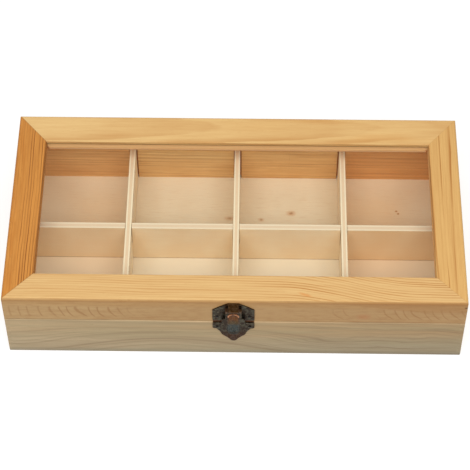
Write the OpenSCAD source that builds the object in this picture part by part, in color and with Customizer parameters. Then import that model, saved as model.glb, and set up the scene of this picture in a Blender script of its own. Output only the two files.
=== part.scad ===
// Tea bag organizer box: a pine box with eight cells, a hinged glass lid
// and a duckbill hasp. Millimetres, +Z up, +X to the right, front at -Y.
// The origin is the centre of the underside.

/* [Box] */
// Width of the box, left to right
box_w = 330; // [280:1:400]
// Depth of the box, front to back
box_d = 169; // [130:1:220]
// Height of the base, from the underside to its rim
base_h = 40.5; // [36:0.5:60]
// Height of the lid, from its rim to its top
lid_h = 25.5; // [25:0.5:36]
// Thickness of the base boards and of the lid's skirt
board_t = 9; // [7:0.5:12]

/* [Corners and edges] */
// Thickness of the side boards' tongues, which lap the ends of the front and back boards
tongue_t = 3.3; // [2:0.1:5]
// Radius of the rounded top edges of the lid
top_round_r = 1.8; // [0.5:0.1:2.5]
// Radius of the eased edges along the seam between lid and base
seam_round_r = 0.6; // [0.2:0.1:1]
// Radius of the four eased upright corners
corner_round_r = 0.8; // [0.2:0.1:2]
// Radius of the eased edges round the lid's window
window_round_r = 0.7; // [0.2:0.1:1.2]

/* [Bottom] */
// Thickness of the plywood bottom
bottom_t = 3; // [2:0.5:6]
// Width of the rebate that the bottom sits in
bottom_rebate_w = 4.5; // [3:0.5:6]
// Gap round the edges of the bottom
bottom_gap = 0.25; // [0.1:0.05:0.5]

/* [Dividers] */
// Thickness of the long plywood divider
long_divider_t = 5; // [3:0.1:6]
// Thickness of the cross dividers
cross_divider_t = 4.2; // [3:0.1:6]
// How much further apart than even spacing the cross dividers stand
pitch_extra = 0.95; // [0:0.05:3]
// How far the dividers' tops lie below the base's rim
divider_drop = 0.5; // [0.3:0.1:3]
// Depth of the dadoes that hold the dividers' ends
dado_depth = 3; // [2:0.25:4]
// Gap between a divider and each side of its dado
dado_gap = 0.75; // [0.25:0.05:0.9]
// Gap between a divider's end and the bottom of its dado
divider_end_gap = 0.5; // [0.2:0.05:0.9]
// Gap on each side of a half-lap slot
lap_gap = 0.4; // [0.2:0.05:0.8]

/* [Lid frame and glass] */
// Width of the lid's front rail, seen from above
front_rail_w = 22.5; // [19:0.5:30]
// Width of the lid's back rail
back_rail_w = 25; // [19:0.5:30]
// Width of the lid's left and right rails
side_rail_w = 21.5; // [19:0.5:30]
// Thickness of the lip of wood above the glass
lip_t = 3; // [2:0.25:5]
// Width of the rebate that the glass sits in
glass_rebate_w = 5; // [3:0.5:7]
// Thickness of the glass
glass_t = 2; // [1.5:0.5:3]
// Gap round the edges of the glass
glass_gap = 0.5; // [0.25:0.05:0.9]
// Height of the beads that hold the glass from below
bead_h = 3; // [2:0.25:5]
// How far the front and back beads show past the edge of the lid's window
bead_show = 2; // [0.5:0.25:4]
// How far the left and right beads show
side_bead_show = 0.5; // [0.5:0.25:4]
// Radius of the beads' rounded lower inner edges
bead_round_r = 1; // [0.3:0.1:1.5]

/* [Hasp] */
// Place of the hasp's centre line along the front
hasp_x = -0.7; // [-60:0.1:60]
// Thickness of the hasp's two plates
plate_t = 0.8; // [0.6:0.1:1]
// Half of the width of the hasp's plates
plate_half_w = 15; // [13:0.5:18]
// Height of the upper plate's lower edge above the seam
upper_plate_low = 2.6; // [1.5:0.1:4]
// Height of the upper plate's shoulders above the seam
upper_plate_shoulder = 15.2; // [14:0.1:17]
// Height of the upper plate's peak above the seam
upper_plate_peak = 23; // [22.4:0.1:23.2]
// Half of the width between the knees, where the upper plate's slopes steepen
upper_knee_half_w = 11; // [9:0.1:12]
// Height of the knees above the shoulders
upper_knee_rise = 3.2; // [2:0.1:4.5]
// Half of the width of the upper plate's flat peak
upper_peak_half_w = 4; // [3:0.25:6]
// Height of the lower plate's wings
lower_wing_h = 7.4; // [6:0.1:9]
// Gap between the seam and the top of the lower plate
lower_plate_drop = 0.4; // [0.2:0.1:1]
// Distance of the lower plate's tip below the seam
lower_plate_tip = 22.4; // [20:0.1:26]
// Half of the width of the lower plate's body, at its feet
lower_body_half_w = 8.2; // [7.5:0.1:9]
// Distance of the feet below the wings
foot_drop = 8; // [6:0.1:9]
// Height of the hasp's pin above the seam
hasp_pin_h = 18.1; // [17.5:0.1:18.3]
// Distance of the hasp's pin from the front of the box
hasp_pin_out = 2.8; // [2.7:0.05:3.2]
// Radius of the hasp's pin
hasp_pin_r = 0.9; // [0.6:0.05:0.95]
// Width of the hood that carries the pin
hood_w = 7.3; // [6:0.1:8]
// Outer radius of the hood round the pin
hood_r = 2.1; // [1.7:0.05:2.3]
// Width of each of the flap's ears
ear_w = 1.8; // [1.5:0.1:2.4]
// Outer radius of the flap's ears
ear_r = 1.6; // [1.3:0.05:1.7]
// Thickness of the flap's sheet
flap_t = 0.9; // [0.7:0.05:1]
// Half of the width of the flap's body
flap_half_w = 8.4; // [8:0.1:10]
// Height of the top of the flap's body above the seam
flap_body_top = 8.2; // [6:0.1:9]
// Distance of the flap's body's lower edge below the seam
flap_body_low = 6; // [3:0.1:7]
// Half of the width of the bill near its round tip
bill_half_w = 4.8; // [4.2:0.1:6]
// Half of the width of the bill at its arched top
bill_top_half_w = 4; // [3.2:0.1:4.2]
// Height of the bill's arched top above the seam
bill_top = 14.6; // [13:0.1:15]
// Distance of the bill's tip below the seam
bill_tip = 7.8; // [6.5:0.1:9]
// How far the bill's tip stands out from the flap's body
bill_flare = 2.4; // [1.6:0.1:3.4]
// How deep the bill's top is pressed into the flap
bill_sink = 0.5; // [0.2:0.05:0.5]
// Width of the raised rim round the bill
rim_w = 1.1; // [0.6:0.1:1.4]
// How far the rim stands out from the flap
rim_h = 0.5; // [0.2:0.1:0.8]
// Half of the width of the catch behind the flap
catch_half_w = 3.2; // [2:0.1:3.6]
// Height of the catch's top above the seam
catch_top = 11; // [10:0.1:12]

/* [Hinges] */
// Distance of each hinge's centre from the end of the box
hinge_inset = 60; // [40:1:90]
// Width of a hinge
hinge_w = 24; // [20:0.5:32]
// Height of each leaf
leaf_h = 10.5; // [10:0.5:12]
// Thickness of each leaf
leaf_t = 0.8; // [0.6:0.1:0.9]
// Outer radius of the knuckles
knuckle_r = 1.5; // [1.3:0.05:1.6]
// Distance of the hinge pins from the back of the box
hinge_pin_out = 1.8; // [1.75:0.05:2]
// Radius of the hinge pins
hinge_pin_r = 0.8; // [0.6:0.05:0.9]
// Length of the heel that stops the lid, from the pin's centre
heel_l = 5; // [4.5:0.1:6]
// Angle at which the heel stops the lid
heel_stop_deg = 106; // [100:1:115]

/* [Nails] */
// Radius of the nails' heads
nail_head_r = 1.35; // [1:0.05:1.5]
// Height of the nails' domed heads
nail_head_h = 0.6; // [0.4:0.05:0.8]
// Radius of the nails' shanks
nail_shank_r = 0.55; // [0.4:0.05:0.7]
// Depth of the nails in the wood
nail_depth = 6; // [4:0.5:6.5]
// Distance of the hasp's nails from its centre line
hasp_nail_x = 11.7; // [10.5:0.1:13]
// Height of the upper plate's nails above the seam
upper_nail_h = 7.4; // [5:0.1:10]
// Distance of the lower plate's nails below the seam
lower_nail_drop = 5.2; // [3:0.1:6]
// Distance of the hinge nails from each hinge's centre
hinge_nail_x = 7.8; // [6:0.1:8.5]
// Distance of the hinge nails from the seam
hinge_nail_z = 6.8; // [5:0.1:7.5]

/* [Hidden] */
$fn = 48;

pine = [0.87, 0.72, 0.48];
pine_dark = [0.82, 0.62, 0.36];
plywood = [0.93, 0.83, 0.68];
bronze = [0.29, 0.24, 0.19];
clear_glass = [0.85, 0.92, 0.92, 0.35];

// Extra length of every cutter past the face it cuts
over = 1;
// Radial gap of a pin that turns in its bore
running_gap = 0.05;
// How deep joined pieces of one casting run into each other
merge = 1;
// Gap between parts of the hasp and hinges that slide past each other
side_gap = 0.3;

front_y = -box_d / 2;
back_y = box_d / 2;
side_x = box_w / 2;

// Dividers: they stand on the bottom and reach into the dadoes
cell_pitch = (box_w - 2 * board_t + cross_divider_t) / 4 + pitch_extra;
divider_h = base_h - divider_drop - bottom_t;
long_divider_l = box_w - 2 * (board_t - dado_depth + divider_end_gap);
cross_divider_l = box_d - 2 * (board_t - dado_depth + divider_end_gap);
lap_h = (divider_h + lap_gap) / 2;

// Bottom: it fills the rebates less a gap all round
bottom_w = box_w - 2 * (board_t - bottom_rebate_w + bottom_gap);
bottom_d = box_d - 2 * (board_t - bottom_rebate_w + bottom_gap);

// Lid: lip, glass and bead together make the flange's thickness
flange_t = lip_t + glass_t + bead_h;

// Hasp plates: corners, the waist under the wings, and the rounded feet and tip
plate_corner_r = 1.2;
wing_corner_r = 1.6;
waist_extra = 3.2;
waist_drop = 3.8;
foot_r = 1.2;
tip_r = 1.6;

// Hood: its back stops short of the peak
hood_top = upper_plate_peak - 0.4;

// Flap: its sheet hangs just outside the pin's centre line
flap_out = hasp_pin_out - 0.2;
flap_front = flap_out + flap_t;
flap_corner_r = 2.4;
arm_in = hood_w / 2 + side_gap;
neck_top = hasp_pin_h - hood_r - side_gap;
hasp_pin_proud = 0.1;
hasp_pin_l = 2 * (arm_in + ear_w + hasp_pin_proud);

// Bill: one arc runs from its sunk top to its flared tip
bill_l = bill_top + bill_tip;
bill_rise = bill_sink + bill_flare;
bill_curve_r = (bill_l * bill_l + bill_rise * bill_rise) / (2 * bill_rise);
bill_reach = 4 * bill_flare;
bill_wall = flap_t - 0.1;
rim_step = 0.1;
// How far the bill's straight sides start inside its round ends
side_in = 0.02;

// Catch: it stands between the upper plate and the flap
catch_t = 0.7;
catch_gap = 0.6;
catch_out = flap_out - catch_gap - catch_t;
catch_low = 5;
catch_foot_h = 3;

// Hinges: three knuckles share the width
hinge_x = side_x - hinge_inset;
knuckle_l = (hinge_w - 2 * side_gap) / 3;
knuckle_step = knuckle_l + side_gap;
notch_h = hinge_pin_out + 0.4;
leaf_corner_r = 1.5;
pin_head_r = knuckle_r - 0.2;

// ---- Shared shapes ----

// What is cut from a square corner at the origin, along -X and +Y, to round it
module corner_cut(r) {
    difference() {
        translate([-over, -r]) square([r + over, r + over]);
        translate([r, -r]) circle(r);
    }
}

// A cutter that rounds the four upper edges of a block of the given width and depth
module top_edge_cutter(w, d, r) {
    for (turn = [0, 180]) {
        rotate(turn) translate([0, -d / 2, 0]) rotate([90, 0, 90])
            linear_extrude(w + 2 * over, center = true) corner_cut(r);
        rotate(turn + 90) translate([0, -w / 2, 0]) rotate([90, 0, 90])
            linear_extrude(d + 2 * over, center = true) corner_cut(r);
    }
}

// A cutter that rounds the box's four upright corners
module upright_corner_cutter(h) {
    for (sx = [0, 1], sy = [0, 1])
        mirror([sx, 0, 0]) mirror([0, sy, 0]) translate([-side_x, back_y, -over])
            linear_extrude(h + 2 * over) corner_cut(corner_round_r);
}

// A rectangle with rounded corners
module rounded_rect(x0, x1, y0, y1, r) {
    translate([x0 + r, y0]) square([x1 - x0 - 2 * r, y1 - y0]);
    translate([x0, y0 + r]) square([x1 - x0, y1 - y0 - 2 * r]);
    for (x = [x0 + r, x1 - r], y = [y0 + r, y1 - r])
        translate([x, y]) circle(r);
}

// Turns a flat outline to stand on the front face: X along it, Y up from the seam
module on_front() {
    translate([hasp_x, front_y, base_h]) rotate([90, 0, 0]) children();
}

// The same on the back face, with the hinge's centre at x
module on_back(x) {
    translate([x, back_y, base_h]) rotate([90, 0, 180]) children();
}

// Runs a side view across the hasp: X outward from the front face, Y up from the seam
module across_hasp(w) {
    translate([hasp_x, front_y, base_h]) rotate([90, 0, 90])
        linear_extrude(w, center = true) mirror([1, 0, 0]) children();
}

// Runs a side view across a hinge, from x_mid - w / 2 to x_mid + w / 2
module across_hinge(x_mid, w) {
    translate([x_mid, back_y, base_h]) rotate([90, 0, 90])
        linear_extrude(w, center = true) children();
}

// ---- Nails ----

// A domed nail along +Z, with the head's underside at z = 0
module nail() {
    dome_r = (nail_head_r * nail_head_r + nail_head_h * nail_head_h) / (2 * nail_head_h);
    rotate_extrude() union() {
        intersection() {
            translate([0, nail_head_h - dome_r]) circle(dome_r);
            square([nail_head_r, nail_head_h]);
        }
        translate([0, -nail_depth]) square([nail_shank_r, nail_depth + nail_head_h / 2]);
    }
}

// The hole that a nail of the given plate thickness leaves in the wood
module nail_hole(plate) {
    translate([0, 0, plate - nail_depth]) cylinder(r = nail_shank_r, h = nail_depth);
}

module at_hasp_nails(z) {
    on_front() for (x = [-hasp_nail_x, hasp_nail_x]) translate([x, z, 0]) children();
}

module at_hinge_nails(z) {
    for (hx = [-hinge_x, hinge_x])
        on_back(hx) for (x = [-hinge_nail_x, hinge_nail_x]) translate([x, z, 0]) children();
}

// ---- Base ----

module bottom_rebate() {
    w = bottom_w + 2 * bottom_gap;
    d = bottom_d + 2 * bottom_gap;
    translate([-w / 2, -d / 2, -over]) cube([w, d, bottom_t + over]);
}

module base_edges() {
    translate([0, 0, base_h]) top_edge_cutter(box_w, box_d, seam_round_r);
    upright_corner_cutter(base_h);
}

// A dado for the end of a divider t thick, open at the rim
module dado(t) {
    w = t + 2 * dado_gap;
    translate([-w / 2, -dado_depth, bottom_t]) cube([w, dado_depth, base_h]);
}

// Front or back board: y_side is -1 or 1
module long_board(y_side) {
    l = box_w - 2 * tongue_t;
    y_in = box_d / 2 - board_t;
    difference() {
        translate([-l / 2, y_side > 0 ? y_in : -box_d / 2, 0]) cube([l, board_t, base_h]);
        bottom_rebate();
        base_edges();
        for (x = [-cell_pitch, 0, cell_pitch])
            translate([x, y_side > 0 ? y_in + dado_depth : -y_in, 0])
                dado(cross_divider_t);
    }
}

// Left or right board: x_side is -1 or 1
module side_board(x_side) {
    y_in = box_d / 2 - board_t;
    mirror([x_side > 0 ? 1 : 0, 0, 0]) difference() {
        translate([-side_x, front_y, 0]) cube([board_t, box_d, base_h]);
        for (y = [-box_d / 2 - over, y_in])
            translate([-side_x + tongue_t, y, -over]) cube([board_t, board_t + over, base_h + 2 * over]);
        bottom_rebate();
        base_edges();
        translate([-side_x + board_t, 0, 0]) rotate(-90) dado(long_divider_t);
    }
}

module front_board() {
    color(pine) difference() {
        long_board(-1);
        at_hasp_nails(-lower_nail_drop) nail_hole(plate_t);
    }
}

module back_board() {
    color(pine) difference() {
        long_board(1);
        at_hinge_nails(-hinge_nail_z) nail_hole(leaf_t);
    }
}

module left_board() {
    color(pine) side_board(-1);
}

module right_board() {
    color(pine) side_board(1);
}

module bottom_panel() {
    color(plywood) translate([-bottom_w / 2, -bottom_d / 2, 0]) cube([bottom_w, bottom_d, bottom_t]);
}

// ---- Dividers ----

// The long divider is slotted from above
module long_divider() {
    lap_w = cross_divider_t + 2 * lap_gap;
    color(plywood) difference() {
        translate([-long_divider_l / 2, -long_divider_t / 2, bottom_t])
            cube([long_divider_l, long_divider_t, divider_h]);
        for (x = [-cell_pitch, 0, cell_pitch])
            translate([x - lap_w / 2, -long_divider_t, bottom_t + divider_h - lap_h])
                cube([lap_w, 2 * long_divider_t, lap_h + over]);
    }
}

// A cross divider is slotted from below
module cross_divider(x) {
    lap_w = long_divider_t + 2 * lap_gap;
    color(plywood) difference() {
        translate([x - cross_divider_t / 2, -cross_divider_l / 2, bottom_t])
            cube([cross_divider_t, cross_divider_l, divider_h]);
        translate([x - cross_divider_t, -lap_w / 2, bottom_t - over])
            cube([2 * cross_divider_t, lap_w, lap_h + over]);
    }
}

module left_cross_divider() {
    cross_divider(-cell_pitch);
}

module middle_cross_divider() {
    cross_divider(0);
}

module right_cross_divider() {
    cross_divider(cell_pitch);
}

// ---- Lid ----

// Section of a rail's top board, w wide: X inward from the outer face, Y up from the seam
module rail_section(w) {
    difference() {
        translate([0, lid_h - flange_t]) square([w, flange_t]);
        translate([w - glass_rebate_w, lid_h - flange_t - over])
            square([glass_rebate_w + over, glass_t + bead_h + over]);
        translate([w, lid_h]) mirror([1, 0, 0]) corner_cut(window_round_r);
    }
}

// Section of a glazing bead that lies from "near" to "far", on the same axes
module bead_section(near, far) {
    difference() {
        translate([near, lid_h - flange_t]) square([far - near, bead_h]);
        translate([far, lid_h - flange_t]) rotate(180) corner_cut(bead_round_r);
    }
}

// A strip with mitred ends along a side of length l. Each pair holds the insets of its outer
// and inner edge: from the side itself, and from the side's left and right end
module mitred_strip(l, from_side, from_left, from_right) {
    intersection() {
        rotate([90, 0, 90]) linear_extrude(l, center = true) children();
        linear_extrude(lid_h) polygon([
            [-l / 2 + from_left[0], from_side[0]], [l / 2 - from_right[0], from_side[0]],
            [l / 2 - from_right[1], from_side[1]], [-l / 2 + from_left[1], from_side[1]]
        ]);
    }
}

// Puts a strip made for the front side on the side that "turn" gives
module on_lid_side(turn, out) {
    translate([0, 0, base_h]) rotate(turn) translate([0, -out, 0]) children();
}

module lid_edges() {
    translate([0, 0, base_h + lid_h]) top_edge_cutter(box_w, box_d, top_round_r);
    translate([0, 0, base_h]) mirror([0, 0, 1]) top_edge_cutter(box_w, box_d, seam_round_r);
    translate([0, 0, base_h]) upright_corner_cutter(lid_h);
}

// One side of the lid: a board w wide over a skirt. Its neighbours are left_w and right_w wide
module lid_rail(turn, l, out, w, left_w, right_w) {
    skirt = [0, board_t];
    difference() {
        on_lid_side(turn, out) {
            mitred_strip(l, [0, w], [0, left_w], [0, right_w]) rail_section(w);
            mitred_strip(l, skirt, skirt, skirt) square([board_t, lid_h - flange_t]);
        }
        lid_edges();
    }
}

module glass_bead(turn, l, out, w, left_w, right_w, show) {
    insets = [-glass_rebate_w, show];
    color(pine) on_lid_side(turn, out)
        mitred_strip(l, insets + [w, w], insets + [left_w, left_w], insets + [right_w, right_w])
            bead_section(w - glass_rebate_w, w + show);
}

module lid_front_rail() {
    color(pine) difference() {
        lid_rail(0, box_w, box_d / 2, front_rail_w, side_rail_w, side_rail_w);
        at_hasp_nails(upper_nail_h) nail_hole(plate_t);
    }
}

module lid_back_rail() {
    color(pine) difference() {
        lid_rail(180, box_w, box_d / 2, back_rail_w, side_rail_w, side_rail_w);
        at_hinge_nails(hinge_nail_z) nail_hole(leaf_t);
    }
}

module lid_left_rail() {
    color(pine_dark) lid_rail(-90, box_d, box_w / 2, side_rail_w, back_rail_w, front_rail_w);
}

module lid_right_rail() {
    color(pine) lid_rail(90, box_d, box_w / 2, side_rail_w, front_rail_w, back_rail_w);
}

module front_glass_bead() {
    glass_bead(0, box_w, box_d / 2, front_rail_w, side_rail_w, side_rail_w, bead_show);
}

module back_glass_bead() {
    glass_bead(180, box_w, box_d / 2, back_rail_w, side_rail_w, side_rail_w, bead_show);
}

module left_glass_bead() {
    glass_bead(-90, box_d, box_w / 2, side_rail_w, back_rail_w, front_rail_w, side_bead_show);
}

module right_glass_bead() {
    glass_bead(90, box_d, box_w / 2, side_rail_w, front_rail_w, back_rail_w, side_bead_show);
}

module glass_pane() {
    lap = glass_rebate_w - glass_gap;
    w = box_w - 2 * (side_rail_w - lap);
    d = box_d - front_rail_w - back_rail_w + 2 * lap;
    color(clear_glass) translate([-w / 2, front_y + front_rail_w - lap, base_h + lid_h - lip_t - glass_t])
        cube([w, d, glass_t]);
}

// ---- Hasp ----

module upper_plate_outline() {
    w = plate_half_w;
    knee_y = upper_plate_shoulder + upper_knee_rise;
    intersection() {
        rounded_rect(-w, w, upper_plate_low, upper_plate_peak + 2 * plate_corner_r, plate_corner_r);
        polygon([
            [-w, upper_plate_low], [w, upper_plate_low], [w, upper_plate_shoulder],
            [upper_knee_half_w, knee_y], [upper_peak_half_w, upper_plate_peak],
            [-upper_peak_half_w, upper_plate_peak], [-upper_knee_half_w, knee_y],
            [-w, upper_plate_shoulder]
        ]);
    }
}

module lower_plate_outline() {
    wing_low = -lower_plate_drop - lower_wing_h;
    waist_w = lower_body_half_w + waist_extra;
    foot_y = wing_low - foot_drop;
    tip_y = tip_r - lower_plate_tip;
    rounded_rect(-plate_half_w, plate_half_w, wing_low, -lower_plate_drop, wing_corner_r);
    polygon([
        [-waist_w, wing_low + merge], [waist_w, wing_low + merge],
        [lower_body_half_w, wing_low - waist_drop], [lower_body_half_w, foot_y], [tip_r, tip_y],
        [-tip_r, tip_y], [-lower_body_half_w, foot_y], [-lower_body_half_w, wing_low - waist_drop]
    ]);
    translate([0, tip_y]) circle(tip_r);
    for (x = [-1, 1]) translate([x * (lower_body_half_w - foot_r), foot_y]) circle(foot_r);
}

// Side view of the hood: it comes down from the peak and rolls round the pin
module hood_side() {
    difference() {
        union() {
            translate([hasp_pin_out, hasp_pin_h]) circle(hood_r);
            polygon([
                [0, hasp_pin_h - merge], [hasp_pin_out, hasp_pin_h - merge],
                [hasp_pin_out, hasp_pin_h + hood_r], [plate_t, hood_top], [0, hood_top]
            ]);
        }
        translate([hasp_pin_out, hasp_pin_h]) circle(hasp_pin_r + running_gap);
    }
}

module hasp_upper_plate() {
    color(bronze) union() {
        difference() {
            on_front() linear_extrude(plate_t) upper_plate_outline();
            at_hasp_nails(upper_nail_h) cylinder(r = nail_shank_r, h = 3 * plate_t, center = true);
        }
        across_hasp(hood_w) hood_side();
    }
}

// Side view of the catch: a foot on the plate, then a tongue in front of the upper plate
module catch_side() {
    translate([0, -catch_low]) square([catch_out + catch_t, catch_foot_h]);
    translate([catch_out, -catch_low]) square([catch_t, catch_top + catch_low]);
}

module hasp_lower_plate() {
    color(bronze) union() {
        difference() {
            on_front() linear_extrude(plate_t) lower_plate_outline();
            at_hasp_nails(-lower_nail_drop) cylinder(r = nail_shank_r, h = 3 * plate_t, center = true);
        }
        intersection() {
            across_hasp(2 * catch_half_w) catch_side();
            on_front() linear_extrude(flap_out)
                rounded_rect(-catch_half_w, catch_half_w, -catch_low, catch_top, plate_corner_r);
        }
    }
}

// Front view of the bill: an arched top, leaning sides and a wider round tip
module bill_outline(inset) {
    low_r = bill_half_w - inset;
    top_r = bill_top_half_w - inset;
    low_y = bill_half_w - bill_tip;
    top_y = bill_top - bill_top_half_w;
    translate([0, low_y]) circle(low_r);
    translate([0, top_y]) circle(top_r);
    polygon([
        [-low_r + side_in, low_y], [low_r - side_in, low_y],
        [top_r - side_in, top_y], [-top_r + side_in, top_y]
    ]);
}

// The bill's outline, run outward from "back" to its full reach
module bill_block(inset, back) {
    on_front() translate([0, 0, back]) linear_extrude(bill_reach) bill_outline(inset);
}

// Side view of all that lies in front of the bill's face, set back by "inset"
module bill_front(inset) {
    translate([flap_front - bill_sink + bill_curve_r, bill_top]) circle(bill_curve_r + inset, $fn = 192);
}

// Side view of the bill: a flat rim above, and the arc from there to the tip
module bill_side() {
    difference() {
        translate([-over, -bill_tip - over]) square([flap_front + bill_reach, bill_l + 2 * over]);
        bill_front(0);
    }
    translate([-over, -bill_tip / 2])
        square([flap_front + rim_h + over, bill_top + bill_tip / 2 + over]);
}

module flap_outline() {
    neck_w = arm_in + ear_w;
    rounded_rect(-flap_half_w, flap_half_w, -flap_body_low, flap_body_top, flap_corner_r);
    translate([-neck_w, 0]) square([2 * neck_w, neck_top]);
    for (x = [-neck_w, arm_in]) translate([x, 0]) square([ear_w, hasp_pin_h]);
}

module hasp_flap() {
    ear_x = arm_in + ear_w / 2;
    across = 4 * bill_half_w;
    color(bronze) difference() {
        union() {
            on_front() translate([0, 0, flap_out]) linear_extrude(flap_t) flap_outline();
            intersection() {
                bill_block(0, flap_out);
                across_hasp(across) bill_side();
            }
            for (x = [-ear_x, ear_x]) translate([x, 0, 0]) across_hasp(ear_w)
                translate([hasp_pin_out, hasp_pin_h]) circle(ear_r);
        }
        // the bill's face, pressed in inside its rim
        intersection() {
            bill_block(rim_w, flap_out);
            across_hasp(across) bill_front(rim_step);
        }
        // the hollow behind it
        difference() {
            bill_block(bill_wall, flap_out - over);
            across_hasp(across) bill_front(bill_wall);
        }
        across_hasp(hasp_pin_l) translate([hasp_pin_out, hasp_pin_h]) circle(hasp_pin_r);
    }
}

module hasp_pin() {
    color(bronze) across_hasp(hasp_pin_l) translate([hasp_pin_out, hasp_pin_h]) circle(hasp_pin_r);
}

module hasp_upper_nails() {
    color(bronze) at_hasp_nails(upper_nail_h) translate([0, 0, plate_t]) nail();
}

module hasp_lower_nails() {
    color(bronze) at_hasp_nails(-lower_nail_drop) translate([0, 0, plate_t]) nail();
}

// ---- Hinges ----

// A flat leaf above the seam with notches at the other leaf's knuckles
module leaf_plate(own_knuckles) {
    difference() {
        linear_extrude(leaf_t) rounded_rect(-hinge_w / 2, hinge_w / 2, 0, leaf_h, leaf_corner_r);
        for (i = [-1, 0, 1])
            if (len(search(i, own_knuckles)) == 0)
                translate([i * knuckle_step - knuckle_l / 2 - side_gap, -over, -over])
                    cube([knuckle_l + 2 * side_gap, notch_h + over, leaf_t + 2 * over]);
    }
}

// Side view of a knuckle with its leaf's root, for the leaf above the seam
module knuckle_side() {
    translate([hinge_pin_out, 0]) circle(knuckle_r);
    square([leaf_t, notch_h + over]);
}

module hinge_bore(x, r) {
    across_hinge(x, 2 * hinge_w) translate([hinge_pin_out, 0]) circle(r);
}

// The heel on the lid leaf's knuckle, which meets the base leaf when the lid is open
module heel(x) {
    translate([x, back_y + hinge_pin_out, base_h]) rotate([heel_stop_deg, 0, 0])
        translate([-knuckle_l / 2, leaf_t - hinge_pin_out, -heel_l]) cube([knuckle_l, leaf_t, heel_l]);
}

module hinge_lid_leaf(x) {
    color(bronze) difference() {
        union() {
            on_back(x) leaf_plate([0]);
            across_hinge(x, knuckle_l) knuckle_side();
            heel(x);
        }
        hinge_bore(x, hinge_pin_r + running_gap);
        at_hinge_nails(hinge_nail_z) cylinder(r = nail_shank_r, h = 3 * leaf_t, center = true);
    }
}

module hinge_base_leaf(x) {
    color(bronze) difference() {
        union() {
            on_back(x) mirror([0, 1, 0]) leaf_plate([-1, 1]);
            for (i = [-1, 1])
                across_hinge(x + i * knuckle_step, knuckle_l) mirror([0, 1, 0]) knuckle_side();
        }
        hinge_bore(x, hinge_pin_r);
        at_hinge_nails(-hinge_nail_z) cylinder(r = nail_shank_r, h = 3 * leaf_t, center = true);
    }
}

module hinge_pin(x) {
    color(bronze) union() {
        across_hinge(x, hinge_w) translate([hinge_pin_out, 0]) circle(hinge_pin_r);
        for (i = [-1, 1]) across_hinge(x + i * (hinge_w + leaf_t) / 2, leaf_t)
            translate([hinge_pin_out, 0]) circle(pin_head_r);
    }
}

module left_hinge_lid_leaf() {
    hinge_lid_leaf(-hinge_x);
}

module left_hinge_base_leaf() {
    hinge_base_leaf(-hinge_x);
}

module left_hinge_pin() {
    hinge_pin(-hinge_x);
}

module right_hinge_lid_leaf() {
    hinge_lid_leaf(hinge_x);
}

module right_hinge_base_leaf() {
    hinge_base_leaf(hinge_x);
}

module right_hinge_pin() {
    hinge_pin(hinge_x);
}

module hinge_lid_nails() {
    color(bronze) at_hinge_nails(hinge_nail_z) translate([0, 0, leaf_t]) nail();
}

module hinge_base_nails() {
    color(bronze) at_hinge_nails(-hinge_nail_z) translate([0, 0, leaf_t]) nail();
}

front_board();
back_board();
left_board();
right_board();
bottom_panel();
long_divider();
left_cross_divider();
middle_cross_divider();
right_cross_divider();
lid_front_rail();
lid_back_rail();
lid_left_rail();
lid_right_rail();
glass_pane();
front_glass_bead();
back_glass_bead();
left_glass_bead();
right_glass_bead();
hasp_upper_plate();
hasp_lower_plate();
hasp_flap();
hasp_pin();
hasp_upper_nails();
hasp_lower_nails();
left_hinge_lid_leaf();
left_hinge_base_leaf();
left_hinge_pin();
right_hinge_lid_leaf();
right_hinge_base_leaf();
right_hinge_pin();
hinge_lid_nails();
hinge_base_nails();
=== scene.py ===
import math

import bmesh
import bpy
from mathutils import Matrix, Vector


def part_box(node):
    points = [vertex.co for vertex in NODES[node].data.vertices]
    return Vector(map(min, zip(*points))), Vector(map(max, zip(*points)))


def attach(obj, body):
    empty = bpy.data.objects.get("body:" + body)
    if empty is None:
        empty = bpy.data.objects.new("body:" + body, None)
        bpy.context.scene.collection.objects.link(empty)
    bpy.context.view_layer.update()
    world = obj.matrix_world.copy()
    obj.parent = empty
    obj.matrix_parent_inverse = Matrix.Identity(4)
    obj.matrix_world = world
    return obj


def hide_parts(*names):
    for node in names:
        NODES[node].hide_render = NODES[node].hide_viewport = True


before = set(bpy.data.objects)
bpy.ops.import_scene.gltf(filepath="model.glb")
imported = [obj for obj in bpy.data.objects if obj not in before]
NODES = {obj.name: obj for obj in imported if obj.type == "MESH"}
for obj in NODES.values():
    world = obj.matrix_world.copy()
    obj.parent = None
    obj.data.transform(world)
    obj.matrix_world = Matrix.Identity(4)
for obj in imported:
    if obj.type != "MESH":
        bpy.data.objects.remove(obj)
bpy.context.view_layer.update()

MM = 0.001
MM_PER_M = 1000

# Sizes that the finishes follow, in millimetres
BOX_W = 330
BOX_D = 169
BASE_H = 40.5
LID_TOP = 66
BOARD_T = 9
BOTTOM_T = 3
FRONT_RAIL_W = 22.5
BACK_RAIL_W = 25
SIDE_RAIL_W = 21.5
DIVIDER_PITCH = 80
CROSS_DIVIDER_T = 4.2
LONG_DIVIDER_T = 5
DADO_DEPTH = 3
HASP_X = -0.7
HASP_HALF_W = 15

# Places that they share, in the same frame
END_X = BOX_W / 2
FRONT_Y = -BOX_D / 2
SKIN_DEPTH = 0.9
BACK_BOARD_Y = BOX_D / 2 - BOARD_T
WINDOW_X = END_X - SIDE_RAIL_W
WINDOW_BACK_Y = BOX_D / 2 - BACK_RAIL_W
BACK_BEAD_Y = WINDOW_BACK_Y - 2
BEAD_FOOT_Z = 58


def tone(red, green, blue):
    """A display colour from 0 to 255, as the linear colour that shaders take."""
    def linear(part):
        part /= 255
        return part / 12.92 if part <= 0.04045 else ((part + 0.055) / 1.055) ** 2.4
    return (linear(red), linear(green), linear(blue), 1.0)


# ---- Shader maths ----

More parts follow.
